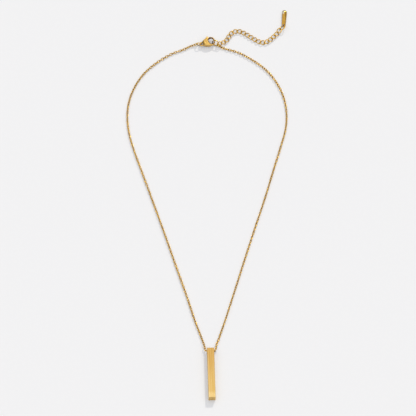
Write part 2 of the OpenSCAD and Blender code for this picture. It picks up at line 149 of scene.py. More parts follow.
# Points round a fine link and a curb link, steps round a ring, the sides of their wires, and
# the share of a ring's wire that is left at both sides of its cut
FINE_POINTS, FINE_SIDES = 12, 5
CURB_POINTS, CURB_SIDES = 40, 10
RING_STEPS, RING_SIDES = 72, 16
CUT_END = 0.9

# Where the bar's painted highlight band begins and is full, and where its free end's face, painted lighter,
# begins
HIGHLIGHT_BAND_AT = (-11.2, -13.4)
LIT_END_FACE_AT = (-15.3, -15.45)

# Pale golds of the bar's painted highlight band and of its broad brushed lines, and of the tag's painted
# highlight
HIGHLIGHT_BAND_GOLD = (0.96, 0.74, 0.34)
LINE_GOLD = (0.98, 0.74, 0.36)
TAG_HIGHLIGHT_GOLD = (0.66, 0.58, 0.42)

# Depth of the plating's polishing and brushing marks, in metres
MARK_DEPTH = 0.00002

# The stage: half the surface's side in metres, the two whites of its grain, the point in the
# picture's middle, the way to the key light, the colours of that light and of the room, and
# the room's grey at shares of the way up to overhead
SURFACE_HALF = 4.0
SURFACE_WHITES = (0.62, 0.625)
VIEW_TARGET = Vector((1.20, 105.19, 0))
LAMP_WAY = Vector((2.1, 5.05, 0))
LAMP_COLOUR = (1.03, 0.97, 0.86)
ROOM_TINT = (0.985, 1.0, 1.055)
ROOM_GREYS = [
    (0.0, 0.75), (0.06, 0.70), (0.12, 0.24), (0.42, 0.30), (0.74, 1.04), (0.90, 1.08), (1.0, 1.06),
]

# Shares of the way up between which the room light's lean to one side fades out
LEAN_FADE = (0.62, 0.86)


class FineChainSizes(bpy.types.PropertyGroup):
    wire: bpy.props.FloatProperty(
        name="Wire", description="Thickness of a link's wire",
        default=0.38 * MM, min=0.2 * MM, unit="LENGTH")
    width: bpy.props.FloatProperty(
        name="Width", description="Outer width of one link",
        default=1.4 * MM, min=0.8 * MM, unit="LENGTH")
    pitch: bpy.props.FloatProperty(
        name="Pitch", description="Spacing of the links along the strand",
        default=1.4 * MM, min=0.8 * MM, unit="LENGTH")
    sway: bpy.props.FloatProperty(
        name="Sway", description="How far each link may roll from its neighbours' rule",
        default=math.radians(12), subtype="ANGLE", unit="ROTATION")
    twist: bpy.props.FloatProperty(
        name="Twist", description="How far the strands twist to and fro along their length",
        default=math.radians(18), subtype="ANGLE", unit="ROTATION")


class ExtenderSizes(bpy.types.PropertyGroup):
    wire: bpy.props.FloatProperty(
        name="Wire", description="Thickness of a curb link's wire",
        default=0.48 * MM, min=0.3 * MM, unit="LENGTH")
    width: bpy.props.FloatProperty(
        name="Width", description="Outer width of one curb link",
        default=2.8 * MM, min=1.5 * MM, unit="LENGTH")
    pitch: bpy.props.FloatProperty(
        name="Pitch", description="Spacing of the curb links",
        default=2.52 * MM, min=1.5 * MM, unit="LENGTH")
    twist: bpy.props.FloatProperty(
        name="Twist", description="Turn of a link's ends out of its plane",
        default=math.radians(48), subtype="ANGLE", unit="ROTATION")


class RingSizes(bpy.types.PropertyGroup):
    end_d: bpy.props.FloatProperty(
        name="End ring", description="Outer diameter of the ring that the clasp hooks into",
        default=4.2 * MM, unit="LENGTH")
    end_wire: bpy.props.FloatProperty(
        name="End ring wire", description="Wire of the ring that the clasp hooks into",
        default=0.55 * MM, unit="LENGTH")
    tail_d: bpy.props.FloatProperty(
        name="Tail ring", description="Outer diameter of the ring in the clasp's eye",
        default=3.4 * MM, unit="LENGTH")
    tail_wire: bpy.props.FloatProperty(
        name="Tail ring wire", description="Wire of the ring in the clasp's eye",
        default=0.5 * MM, unit="LENGTH")
    tag_d: bpy.props.FloatProperty(
        name="Tag ring", description="Outer diameter of the ring that holds the tag",
        default=4.0 * MM, unit="LENGTH")
    tag_wire: bpy.props.FloatProperty(
        name="Tag ring wire", description="Wire of the ring that holds the tag",
        default=0.5 * MM, unit="LENGTH")
    cut: bpy.props.FloatProperty(
        name="Cut", description="Opening at the cut of each ring",
        default=math.radians(3), subtype="ANGLE", unit="ROTATION")


class CastingSizes(bpy.types.PropertyGroup):
    grain: bpy.props.FloatProperty(
        name="Grain", description="Smallest detail kept on the clasp and the tag",
        default=0.06 * MM, unit="LENGTH")
    tumbling: bpy.props.IntProperty(
        name="Tumbling", description="How far the clasp's edges are rounded by polishing",
        default=8, min=0, max=40)
    tag_tumbling: bpy.props.IntProperty(
        name="Tag tumbling", description="How far the tag's edges are rounded by polishing",
        default=14, min=0, max=60)


class PlatingColours(bpy.types.PropertyGroup):
    # The bar's two colours carry a painted reflection: the bore end darker, the free end paler
    bar_top_painted_dim: bpy.props.FloatVectorProperty(
        name="Bar, bore end", description="Plating of the bar near its bore",
        default=(0.59, 0.338, 0.081), size=3, subtype="COLOR", min=0, max=1)
    bar_foot_painted_lit: bpy.props.FloatVectorProperty(
        name="Bar, free end", description="Plating of the bar near its free end",
        default=(0.70, 0.463, 0.138), size=3, subtype="COLOR", min=0, max=1)
    chain: bpy.props.FloatVectorProperty(
        name="Chain", description="Plating of the fine chain",
        default=(0.94, 0.61, 0.075), size=3, subtype="COLOR", min=0, max=1)
    links: bpy.props.FloatVectorProperty(
        name="Rings and extender", description="Plating of the rings and the extender's links",
        default=(0.86, 0.52, 0.05), size=3, subtype="COLOR", min=0, max=1)
    clasp: bpy.props.FloatVectorProperty(
        name="Clasp", description="Plating of the clasp",
        default=(0.87, 0.555, 0.15), size=3, subtype="COLOR", min=0, max=1)
    tag: bpy.props.FloatVectorProperty(
        name="Tag", description="Plating of the drop tag",
        default=(0.57, 0.321, 0.056), size=3, subtype="COLOR", min=0, max=1)


class StageSettings(bpy.types.PropertyGroup):
    view_height: bpy.props.FloatProperty(
        name="View height", description="Angle of the camera above the surface",
        default=math.radians(63), subtype="ANGLE", unit="ROTATION")
    view_turn: bpy.props.FloatProperty(
        name="View turn", description="Turn of the camera about the upright line",
        default=math.radians(1.657), subtype="ANGLE", unit="ROTATION")
    view_width: bpy.props.FloatProperty(
        name="View width", description="Width of the picture at the necklace",
        default=0.234, unit="LENGTH")
    view_distance: bpy.props.FloatProperty(
        name="View distance", description="Distance of the camera",
        default=9.0, unit="LENGTH")
    lamp_height: bpy.props.FloatProperty(
        name="Lamp height", description="Angle of the key light above the surface",
        default=math.radians(38), subtype="ANGLE", unit="ROTATION")
    lamp_spread: bpy.props.FloatProperty(
        name="Lamp spread", description="Softness of the key light's shadows",
        default=math.radians(3), subtype="ANGLE", unit="ROTATION")
    lamp_power: bpy.props.FloatProperty(
        name="Lamp power", description="Strength of the key light",
        default=1.42, min=0)
    room_light: bpy.props.FloatProperty(
        name="Room light", description="Strength of the light from all round",
        default=0.985, min=0)
    surface_glow: bpy.props.FloatProperty(
        name="Surface glow", description="Light that comes through the surface from below",
        default=0.235, min=0)
    room_side: bpy.props.FloatProperty(
        name="Room light's lean",
        description="Share by which the low light is stronger on the key light's side",
        default=0.25, min=0, max=1)


SETTINGS = {
    "necklace_chain": FineChainSizes,
    "necklace_extender": ExtenderSizes,
    "necklace_rings": RingSizes,
    "necklace_castings": CastingSizes,
    "necklace_plating": PlatingColours,
    "necklace_stage": StageSettings,
}


# How the necklace lies


def heading(turn, slope=0.0):
    """The way of something turned about Z and sloped up, in degrees."""
    t, s = math.radians(turn), math.radians(slope)
    return Vector((math.cos(s) * math.cos(t), math.cos(s) * math.sin(t), math.sin(s)))


def ring_point(place, turn, lean, r, angle):
    """A point on the middle line of a ring's wire, at an angle round it."""
    t, l, a = math.radians(turn), math.radians(lean), math.radians(angle)
    return place + r * Vector((
        math.cos(a) * math.cos(t) - math.sin(a) * math.cos(l) * math.sin(t),
        math.cos(a) * math.sin(t) + math.sin(a) * math.cos(l) * math.cos(t),
        math.sin(a) * math.sin(l),
    ))


def ring_way(turn, lean, angle):
    """The way that a ring's wire runs at an angle round it."""
    return ring_point(Vector((0, 0, 0)), turn, lean, 1.0, angle + 90)


def square_roll(way, wire_way):
    """Roll at which a link lying along a way stands square to a ring's wire."""
    level = Vector((-way.y, way.x, 0)).normalized()
    return math.degrees(math.atan2(-wire_way.dot(level), wire_way.dot(way.cross(level))))


def slope_at(p, i):
    """The way that a smooth line runs at one of its chosen points."""
    last = len(p) - 1
    if i == 0:
        return (p[1] - p[0]).normalized()
    if i == last:
        return (p[last] - p[last - 1]).normalized()
    before, after = p[i] - p[i - 1], p[i + 1] - p[i]
    b, a = before.length, after.length
    return (before.normalized() * a + after.normalized() * b) / (a + b)


def curve(p, step):
    """A smooth line through chosen points, as points about a step apart."""
    line = []
    for i in range(len(p) - 1):
        reach = (p[i + 1] - p[i]).length
        parts = max(1, round(reach / step))
        a, b = slope_at(p, i) * reach, slope_at(p, i + 1) * reach
        for k in range(parts):
            u = k / parts
            line.append(
                (2 * u**3 - 3 * u**2 + 1) * p[i] + (u**3 - 2 * u**2 + u) * a
                + (3 * u**2 - 2 * u**3) * p[i + 1] + (u**3 - u**2) * b
            )
    return line + [p[-1]]


def spaced(line, steps):
    """Points at given lengths along a line of points."""
    sums = [0.0]
    for a, b in zip(line, line[1:]):
        sums.append(sums[-1] + (b - a).length)
    out, i = [], 0
    for s in steps:
        while i < len(line) - 2 and sums[i + 1] < s:
            i += 1
        u = (s - sums[i]) / (sums[i + 1] - sums[i])
        out.append(line[i].lerp(line[i + 1], u))
    return out, sums[-1]


def lie(sizes_of):
    """Works out where the rings, the extender's joints and the chain's end links are."""
    rings, extender, chain = sizes_of.necklace_rings, sizes_of.necklace_extender, sizes_of.necklace_chain
    out = {}
    end_r = (rings.end_d - rings.end_wire) / 2 / MM
    tail_r = (rings.tail_d - rings.tail_wire) / 2 / MM
    tag_r = (rings.tag_d - rings.tag_wire) / 2 / MM
    end_wire, tail_wire, tag_wire = rings.end_wire / MM, rings.tail_wire / MM, rings.tag_wire / MM
    end_turn, end_lean = END_RING["turn"], END_RING["lean"]
    tail_turn, tail_lean = TAIL_RING["turn"], TAIL_RING["lean"]
    tag_turn, tag_lean = TAG_RING["turn"], TAG_RING["lean"]
    flat = CLAW + (CLAW_R - end_wire / 2 - HOOK_GAP + end_r) * heading(end_turn).xy
    end_at = Vector((*flat, end_r * math.sin(math.radians(end_lean)) + end_wire / 2 + LIFT))
    flat = CLAW - (CLASP_SPAN - TAIL_SEAT) * heading(CLASP_TURN).xy - tail_r * heading(tail_turn).xy
    tail_at = Vector((*flat, tail_r * math.sin(math.radians(tail_lean)) + tail_wire / 2 + LIFT))

    pitch, wire = extender.pitch / MM, extender.wire / MM
    half_w = (extender.width / MM - wire) / 2
    low = half_w * LIE_SHARE + wire / 2 + LIFT
    hook = ring_point(end_at, end_turn, end_lean, end_r, EXTENDER_ANGLE)
    route = [hook - (end_wire + EXTENDER_PLAY) / 2 * heading(EXTENDER_TURN)]
    route += [Vector((end_at.x + x * pitch, end_at.y + y * pitch, z * low)) for x, y, z in EXTENDER]
    joints, _ = spaced(curve(route, ROUTE_STEP), [i * pitch for i in range(EXTENDER_LINKS + 1)])
    last_way = (joints[-1] - joints[-2]).normalized()
    tag_hook = joints[-1] - (tag_wire + EXTENDER_PLAY) / 2 * last_way
    tag_at = tag_hook - ring_point(Vector((0, 0, 0)), tag_turn, tag_lean, tag_r, LAST_LINK_ANGLE)

    out["end_ring"] = (end_at, end_turn, end_lean, end_r, end_wire, END_RING["cut"])
    out["tail_ring"] = (tail_at, tail_turn, tail_lean, tail_r, tail_wire, TAIL_RING["cut"])
    out["tag_ring"] = (tag_at, tag_turn, tag_lean, tag_r, tag_wire, TAG_RING["cut"])
    out["extender_joints"] = joints

    c_wire = chain.wire / MM
    reach = (chain.pitch / MM + c_wire + LINK_PLAY) / 2
    for side, name, hold in (("left", "tail_ring", LEFT_END), ("right", "end_ring", RIGHT_END)):
        at, turn, lean, r, ring_wire, _ = out[name]
        way = heading(hold["turn"], hold["slope"])
        on_ring = ring_point(at, turn, lean, r, hold["angle"])
        link = on_ring + (reach - (c_wire + ring_wire) / 2 - LINK_PLAY) * way
        out[side + "_link"] = (link, way, square_roll(way, ring_way(turn, lean, hold["angle"])))
    return out


# Mesh helpers


def new_piece(name, mesh):
    """An object in the scene for a mesh."""
    piece = bpy.data.objects.new(name, mesh)
    bpy.context.scene.collection.objects.link(piece)
    return piece


def swept_loop(name, line, radius, sides, closed=True):
    """A wire swept along points round the origin; an open one is capped and thinner at its ends."""
    n = len(line)
    bm = bmesh.new()
    rows = []
    for i, p in enumerate(line):
        ahead = line[(i + 1) % n] if closed or i < n - 1 else p
        behind = line[i - 1] if closed or i > 0 else p
        along = (ahead - behind).normalized()
        out = p - along * p.dot(along)
        out = out.normalized() if out.length > 1e-9 else along.orthogonal().normalized()
        side = along.cross(out)
        r = radius if closed or 0 < i < n - 1 else radius * CUT_END
        rows.append([
            bm.verts.new(p + r * (math.cos(2 * math.pi * j / sides) * out
                                  + math.sin(2 * math.pi * j / sides) * side))
            for j in range(sides)
        ])
    for i in range(n if closed else n - 1):
        a, b = rows[i], rows[(i + 1) % n]
        for j in range(sides):
            k = (j + 1) % sides
            bm.faces.new((a[j], a[k], b[k], b[j]))
    if not closed:
        bm.faces.new(rows[0][::-1])
        bm.faces.new(rows[-1])
    bmesh.ops.recalc_face_normals(bm, faces=bm.faces)
    mesh = bpy.data.meshes.new(name)
    bm.to_mesh(mesh)
    bm.free()
    mesh.shade_smooth()
    return mesh


def built(piece, name):
    """The mesh that a piece's modifiers make."""
    piece.update_tag()
    bpy.context.view_layer.update()
    seen = piece.evaluated_get(bpy.context.evaluated_depsgraph_get())
    mesh = bpy.data.meshes.new_from_object(seen)
    mesh.name = name
    if not len(mesh.polygons):
        raise RuntimeError(f"{name}: nothing was built")
    mesh.shade_smooth()
    return mesh


def plate(piece, material):
    """Gives a piece one material in place of those that it has."""
    piece.data.materials.clear()
    piece.data.materials.append(material)


def finished(piece, material, body="necklace"):
    """Gives a piece its plating and its body."""
    plate(piece, material)
    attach(piece, body)


# Nodes


def feed(tree, value, socket):
    """Sets a node's socket to a value, or joins another node's output to it."""
    if isinstance(value, bpy.types.NodeSocket):
        tree.links.new(value, socket)
    else:
        socket.default_value = value


def worked(tree, kind, operation, *values):
    """A node that works out an operation on some values."""
    node = tree.nodes.new("ShaderNode" + kind)
    node.operation = operation
    for value, socket in zip(values, node.inputs):
        feed(tree, value, socket)
    return node


def node_group(name, kind, inputs, outputs, build):
    """A group of nodes that several materials or pieces share, built once."""
    if name in bpy.data.node_groups:
        return bpy.data.node_groups[name]
    tree = bpy.data.node_groups.new(name, kind + "NodeTree")
    for label, socket_kind, value in inputs:
        socket = tree.interface.new_socket(label, in_out="INPUT", socket_type="NodeSocket" + socket_kind)
        if value is not None:
            socket.default_value = value
    for label, socket_kind in outputs:
        tree.interface.new_socket(label, in_out="OUTPUT", socket_type="NodeSocket" + socket_kind)
    build(tree, tree.nodes.new("NodeGroupInput"), tree.nodes.new("NodeGroupOutput"))
    return tree


# Rows of links


def link_row_group():
    """Sets one link on each edge of a route, laid along it and rolled by the edge's own angle."""
    def build(tree, source, target):
        nodes, join = tree.nodes, tree.links.new
        ends = nodes.new("GeometryNodeInputMeshEdgeVertices")
        way = worked(tree, "VectorMath", "SUBTRACT", ends.outputs["Position 2"], ends.outputs["Position 1"])
        keep = nodes.new("GeometryNodeCaptureAttribute")
        keep.domain = "EDGE"
        keep.capture_items.new("VECTOR", "Way")
        join(source.outputs["Route"], keep.inputs["Geometry"])
        join(way.outputs[0], keep.inputs["Way"])
        middles = nodes.new("GeometryNodeMeshToPoints")
        middles.mode = "EDGES"
        join(keep.outputs["Geometry"], middles.inputs["Mesh"])
        turn = nodes.new("FunctionNodeAlignRotationToVector")
        turn.axis, turn.pivot_axis = "X", "Z"
        join(keep.outputs["Way"], turn.inputs["Vector"])
        slope = nodes.new("FunctionNodeAlignRotationToVector")
        slope.axis, slope.pivot_axis = "X", "Y"
        join(turn.outputs[0], slope.inputs["Rotation"])
        join(keep.outputs["Way"], slope.inputs["Vector"])
        rule = nodes.new("GeometryNodeInputNamedAttribute")
        rule.data_type = "FLOAT"
        rule.inputs["Name"].default_value = "roll"
        less = worked(tree, "Math", "MULTIPLY", source.outputs["Sway"], -1.0)
        chance = nodes.new("FunctionNodeRandomValue")
        chance.data_type = "FLOAT"
        join(less.outputs[0], chance.inputs[2])
        join(source.outputs["Sway"], chance.inputs[3])
        join(source.outputs["Seed"], chance.inputs["Seed"])
        angle = worked(tree, "Math", "ADD", rule.outputs[0], chance.outputs[1])
        roll = nodes.new("FunctionNodeAxisAngleToRotation")
        roll.inputs["Axis"].default_value = (1.0, 0.0, 0.0)
        join(angle.outputs[0], roll.inputs["Angle"])
        both = nodes.new("FunctionNodeRotateRotation")
        both.rotation_space = "LOCAL"
        join(slope.outputs[0], both.inputs["Rotation"])
        join(roll.outputs[0], both.inputs["Rotate By"])
        link = nodes.new("GeometryNodeObjectInfo")
        link.transform_space = "ORIGINAL"
        join(source.outputs["Link"], link.inputs["Object"])
        row = nodes.new("GeometryNodeInstanceOnPoints")
        join(middles.outputs["Points"], row.inputs["Points"])
        join(link.outputs["Geometry"], row.inputs["Instance"])
        join(both.outputs[0], row.inputs["Rotation"])
        real = nodes.new("GeometryNodeRealizeInstances")
        join(row.outputs["Instances"], real.inputs["Geometry"])
        plated = nodes.new("GeometryNodeSetMaterial")
        join(real.outputs["Geometry"], plated.inputs["Geometry"])
        join(source.outputs["Plating"], plated.inputs["Material"])
        join(plated.outputs["Geometry"], target.inputs["Chain"])
    return node_group(
        "links along a route", "Geometry",
        [("Route", "Geometry", None), ("Link", "Object", None), ("Sway", "Float", None),
         ("Seed", "Int", None), ("Plating", "Material", None)],
        [("Chain", "Geometry")], build)


def row_of_links(name, joints, rolls, link_mesh, material, sway, seed):
    """A plain mesh with one link between each pair of joints along the route."""
    route = bpy.data.meshes.new(name + "_route")
    route.from_pydata([p * MM for p in joints], [(i, i + 1) for i in range(len(joints) - 1)], [])
    at = route.attributes.new("roll", "FLOAT", "EDGE")
    for i, roll in enumerate(rolls):
        at.data[i].value = math.radians(roll)
    holder = new_piece(name + "_route", route)
    pattern = new_piece(name + "_link", link_mesh)
    tree = link_row_group()
    row = holder.modifiers.new("links", "NODES")
    row.node_group = tree
    values = {"Link": pattern, "Sway": sway, "Seed": seed, "Plating": material}
    for socket in tree.interface.items_tree:
        if socket.in_out == "INPUT" and socket.name in values:
            row[socket.identifier] = values[socket.name]
    mesh = built(holder, name)
    bpy.data.objects.remove(holder)
    bpy.data.objects.remove(pattern)
    for attribute in [a.name for a in mesh.attributes if a.name in ("roll", "Way")]:
        mesh.attributes.remove(mesh.attributes[attribute])
    return new_piece(name, mesh)


# Plating


def stretched_noise(tree, vector, stretch, scale, detail, rough=0.5):
    """Noise on the piece's own millimetres, drawn out along one way."""
    place = tree.nodes.new("ShaderNodeMapping")
    place.inputs["Scale"].default_value = [1000.0 * s for s in stretch]
    tree.links.new(vector, place.inputs["Vector"])
    noise = tree.nodes.new("ShaderNodeTexNoise")
    noise.inputs["Detail"].default_value = detail
    noise.inputs["Roughness"].default_value = rough
    tree.links.new(place.outputs[0], noise.inputs["Vector"])
    feed(tree, scale, noise.inputs["Scale"])
    return noise.outputs[0]


def ramp(tree, value, low, high, out_low, out_high, smooth=True):
    """Maps a value from one range to another, and holds it at the ends."""
    node = tree.nodes.new("ShaderNodeMapRange")
    node.interpolation_type = "SMOOTHSTEP" if smooth else "LINEAR"
    for label, v in (("From Min", low), ("From Max", high), ("To Min", out_low), ("To Max", out_high)):
        node.inputs[label].default_value = v
    tree.links.new(value, node.inputs["Value"])
    return node.outputs[0]


def blend_colours(tree, share, a, b, kind="MIX"):
    """The first colour changed to the second by a share."""
    node = tree.nodes.new("ShaderNodeMix")
    node.data_type = "RGBA"
    node.blend_type = kind
    for value, place in ((share, 0), (a, 6), (b, 7)):
        feed(tree, value, node.inputs[place])
    return node.outputs[2]


def plating_tone_group():
    """Gold plating is a little deeper in some places than in others."""
    def build(tree, source, target):
        cloud = stretched_noise(tree, source.outputs["Place"], (1, 1, 1), source.outputs["Scale"], 3)
        depth = ramp(tree, cloud, 0.35, 0.7, 0.0, 1.0)
        deep = worked(tree, "Math", "MULTIPLY", depth, source.outputs["Amount"])
        tint = blend_colours(tree, deep.outputs[0], source.outputs["Plating"], source.outputs["Deep plating"])
        tree.links.new(tint, target.inputs["Colour"])
    return node_group(
        "plating tone", "Shader",
        [("Place", "Vector", None), ("Scale", "Float", 0.4), ("Amount", "Float", 0.5),
         ("Plating", "Color", (0.9, 0.6, 0.2, 1)), ("Deep plating", "Color", (0.7, 0.4, 0.1, 1))],
        [("Colour", "Color")], build)


def polish_group():
    """Hair-fine marks of the polishing wheel, with a slight haze between them."""
    def build(tree, source, target):
        hairs = stretched_noise(tree, source.outputs["Place"], (1, 1, 1), source.outputs["Hairs"], 4, 0.6)
        haze = stretched_noise(tree, source.outputs["Place"], (1, 1, 1), 0.55, 2)
        marks = ramp(tree, hairs, 0.42, 0.66, 0.0, 1.0)
        tree.links.new(marks, target.inputs["Marks"])
        tree.links.new(ramp(tree, haze, 0.3, 0.7, 0.0, 1.0), target.inputs["Haze"])
    return node_group(
        "polish marks", "Shader", [("Place", "Vector", None), ("Hairs", "Float", 6.0)],
        [("Marks", "Float"), ("Haze", "Float")], build)


def brushed_group():
    """Lines that a brushing belt leaves along the bar: broad faint bands and fine lines."""
    def build(tree, source, target):
        place = source.outputs["Place"]
        bands = stretched_noise(tree, place, (1.0, 0.03, 1.0), 1.0, 2)
        lines = stretched_noise(tree, place, (2.4, 0.07, 2.4), 1.0, 3, 0.6)
        hairs = stretched_noise(tree, place, (22, 0.3, 22), 1.0, 3, 0.6)
        tree.links.new(ramp(tree, bands, 0.32, 0.68, 0.0, 1.0), target.inputs["Bands"])
        tree.links.new(ramp(tree, lines, 0.3, 0.7, 0.0, 1.0), target.inputs["Lines"])
        tree.links.new(ramp(tree, hairs, 0.3, 0.7, 0.0, 1.0), target.inputs["Hairs"])
    return node_group(
        "brushed lines", "Shader", [("Place", "Vector", None)],
        [("Bands", "Float"), ("Lines", "Float"), ("Hairs", "Float")], build)


def joint_shade_group():
    """Painted shade: where metal lies close to metal or to the surface, the plating is darkened, as such
    metal mirrors little light.
    """
    def build(tree, source, target):
        close = tree.nodes.new("ShaderNodeAmbientOcclusion")
        close.samples = 8
        tree.links.new(source.outputs["Reach"], close.inputs["Distance"])
        open_share = ramp(tree, close.outputs["AO"], 0.3, 0.95, 0.0, 1.0)
        tint = blend_colours(tree, open_share, source.outputs["Shade"], source.outputs["Plating"])
        tree.links.new(tint, target.inputs["Colour"])
    return node_group(
        "joint shade", "Shader",
        [("Plating", "Color", (0.9, 0.6, 0.2, 1)), ("Shade", "Color", (0.3, 0.15, 0.03, 1)),
         ("Reach", "Float", 0.0006)],
        [("Colour", "Color")], build)


def start_material(name):
    """A material with its shader and the piece's own place, and nothing joined to them yet."""
    material = bpy.data.materials.new(name)
    material.use_nodes = True
    tree = material.node_tree
    tree.nodes.clear()
    out = tree.nodes.new("ShaderNodeOutputMaterial")
    shader = tree.nodes.new("ShaderNodeBsdfPrincipled")
    tree.links.new(shader.outputs[0], out.inputs["Surface"])
    place = tree.nodes.new("ShaderNodeTexCoord").outputs["Object"]
    return material, tree, shader, place


def use_group(tree, group, **values):
    """Puts a shared effect in a material; a value may be another node's output."""
    node = tree.nodes.new("ShaderNodeGroup")
    node.node_tree = group
    for label, value in values.items():
        feed(tree, value, node.inputs[label.replace("_", " ")])
    return node


def bump(tree, shader, height, strength):
    """Marks a shader's surface by a height."""
    node = tree.nodes.new("ShaderNodeBump")
    node.inputs["Strength"].default_value = strength
    node.inputs["Distance"].default_value = MARK_DEPTH
    tree.links.new(height, node.inputs["Height"])
    tree.links.new(node.outputs[0], shader.inputs["Normal"])


def shade(colour, *shares):
    """A colour with its channels multiplied by one share, or each by its own."""
    return tuple(c * share for c, share in zip(colour, shares * 3)) + (1.0,)


def grey(value):
    """A colour without a tint."""
    return (value, value, value, 1.0)


def polished_plating(name, colour, deep=0.72, gloss=0.16, haze=0.10, hairs=6.0, amount=0.5, scale=0.6,
                     joint=0.3, reach=0.8):
    """Bright gold plating over polished steel, deeper in tone in random clouds, with painted shade in its
    joints and where it lies near the surface.
    """
    material, tree, shader, place = start_material(name)
    tone = use_group(tree, plating_tone_group(), Place=place, Scale=scale, Amount=amount,
                     Plating=shade(colour, 1.0), Deep_plating=shade(colour, deep, deep * 0.92, deep * 0.8))
    polish = use_group(tree, polish_group(), Place=place, Hairs=hairs)
    shaded = use_group(tree, joint_shade_group(), Plating=tone.outputs["Colour"],
                       Shade=shade(colour, joint, joint * 0.8, joint * 0.6), Reach=reach * MM)
    rough = ramp(tree, polish.outputs["Haze"], 0, 1, gloss, gloss + haze, False)
    shader.inputs["Metallic"].default_value = 1.0
    tree.links.new(shaded.outputs["Colour"], shader.inputs["Base Color"])
    tree.links.new(rough, shader.inputs["Roughness"])
    bump(tree, shader, polish.outputs["Marks"], 0.10)
    return material


def first_node(material, kind):
    """The first node of a kind in a material."""
    return next(node for node in material.node_tree.nodes if node.type == kind)


def tint_by(material, share, tint):
    """Changes a material's colour to a tint by a share."""
    tree, shader = material.node_tree, first_node(material, "BSDF_PRINCIPLED")
    plated = shader.inputs["Base Color"].links[0].from_socket
    tree.links.new(blend_colours(tree, share, plated, tint), shader.inputs["Base Color"])


def chain_plating(name, colour):
    """The fine chain's plating, with painted shade on each link's bends, where it lies in the next links, so
    they are darker than its sides.
    """
    material = polished_plating(name, colour, deep=0.6, gloss=0.27, haze=0.06, hairs=9.0,
                                amount=0.8, scale=0.9, joint=0.3, reach=0.5)
    # Painted shade on each link's bends, read from the link's bend measure
    bend = material.node_tree.nodes.new("ShaderNodeAttribute")
    bend.attribute_name = "bend"
    share = ramp(material.node_tree, bend.outputs["Fac"], 0.5, 0.85, 0.0, 1.0)
    tint_by(material, share, shade(colour, 0.50, 0.36, 0.20))
    return material


def oval_mask(material, middle, turn, half_length, half_width, inner, outer):
    """One inside an upright oval column, fading to nothing between two shares of its size."""
    tree, place = material.node_tree, first_node(material, "TEX_COORD").outputs["Object"]
    into = tree.nodes.new("ShaderNodeMapping")
    into.vector_type = "TEXTURE"
    into.inputs["Location"].default_value = (middle.x * MM, middle.y * MM, 0)
    into.inputs["Rotation"].default_value = (0, 0, math.radians(turn))
    into.inputs["Scale"].default_value = (half_length * MM, half_width * MM, 1)
    tree.links.new(place, into.inputs["Vector"])
    flat = worked(tree, "VectorMath", "MULTIPLY", into.outputs[0], (1, 1, 0))
    away = worked(tree, "VectorMath", "LENGTH", flat.outputs[0])
    return ramp(tree, away.outputs["Value"], outer, inner, 0.0, 1.0)


def clasp_plating(name, colour):
    """The clasp's plating, with painted shade on the claw hole's inner wall."""
    material = polished_plating(name, colour, deep=0.7, gloss=0.12, haze=0.08,
                                amount=0.8, joint=0.08, reach=1.6)
    # Painted shade on the claw hole's inner wall
    inside = oval_mask(material, CLAW, CLASP_TURN, CLAW_R, CLAW_HALF_W, 1.16, 1.32)
    tint_by(material, inside, shade(colour, 0.14, 0.07, 0.01))
    return material


def tag_plating(name, colour):
    """The tag's plating, with a painted highlight as a pale oval at its far end."""
    material = polished_plating(name, colour, deep=0.75, gloss=0.10, haze=0.06, joint=0.6)
    # Painted highlight: a pale oval at the tag's far end
    pale = oval_mask(material, TAG_HIGHLIGHT_MIDDLE, TAG_TURN, *TAG_HIGHLIGHT_SIZES, 0.5, 1.2)
    tint_by(material, pale, shade(TAG_HIGHLIGHT_GOLD, 1.0))
    return material


def brushed_plating(name, near, far):
    """Satin gold plating on the bar, brushed along its length, with a painted reflection that makes it paler
    towards its free end, a painted highlight band near that end and painted light on the end's face.
    """
    material, tree, shader, place = start_material(name)
    split = tree.nodes.new("ShaderNodeSeparateXYZ")
    tree.links.new(place, split.inputs[0])
    # Painted reflection gradient, from the darker bore end to the paler free end
    down = ramp(tree, split.outputs["Y"], BAR_L / 2 * MM, -BAR_L / 2 * MM, 0.0, 1.0)
    brushed = use_group(tree, brushed_group(), Place=place)
    along = blend_colours(tree, down, shade(near, 1.0), shade(far, 1.0))
    # Painted highlight: a pale band across the bar near its free end
    painted_highlight_band = ramp(tree, split.outputs["Y"], HIGHLIGHT_BAND_AT[0] * MM, HIGHLIGHT_BAND_AT[1] * MM, 0.0, 0.5)
    along = blend_colours(tree, painted_highlight_band, along, shade(HIGHLIGHT_BAND_GOLD, 1.0))
    # Painted light: the free end's face is made paler than the rest of the bar
    painted_end_face_light = ramp(tree, split.outputs["Y"], LIT_END_FACE_AT[0] * MM, LIT_END_FACE_AT[1] * MM, 0.0, 1.0)
    along = blend_colours(tree, painted_end_face_light, along, shade(far, 1.14))
    faint = ramp(tree, brushed.outputs["Bands"], 0, 1, 0.0, 0.34, False)
    along = blend_colours(tree, faint, along, shade(LINE_GOLD, 1.0))
    fine = ramp(tree, brushed.outputs["Lines"], 0, 1, 0.0, 0.40, False)
    along = blend_colours(tree, fine, along, shade(near, 0.86))
    rough = ramp(tree, brushed.outputs["Lines"], 0, 1, 0.24, 0.34, False)
    shader.inputs["Metallic"].default_value = 1.0
    tree.links.new(along, shader.inputs["Base Color"])
    tree.links.new(rough, shader.inputs["Roughness"])
    bump(tree, shader, brushed.outputs["Hairs"], 0.18)
    return material


# The pieces


class NECKLACE_OT_bar(bpy.types.Operator):
    """Finish the square bar in satin gold, brushed along its length"""

    bl_idname = "necklace.bar"
    bl_label = "Finish the bar"

    def execute(self, context):
        plating = context.scene.necklace_plating
        gold = brushed_plating("bar_satin_gold", plating.bar_top_painted_dim, plating.bar_foot_painted_lit)
        plate(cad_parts["bar"], gold)
        return {"FINISHED"}


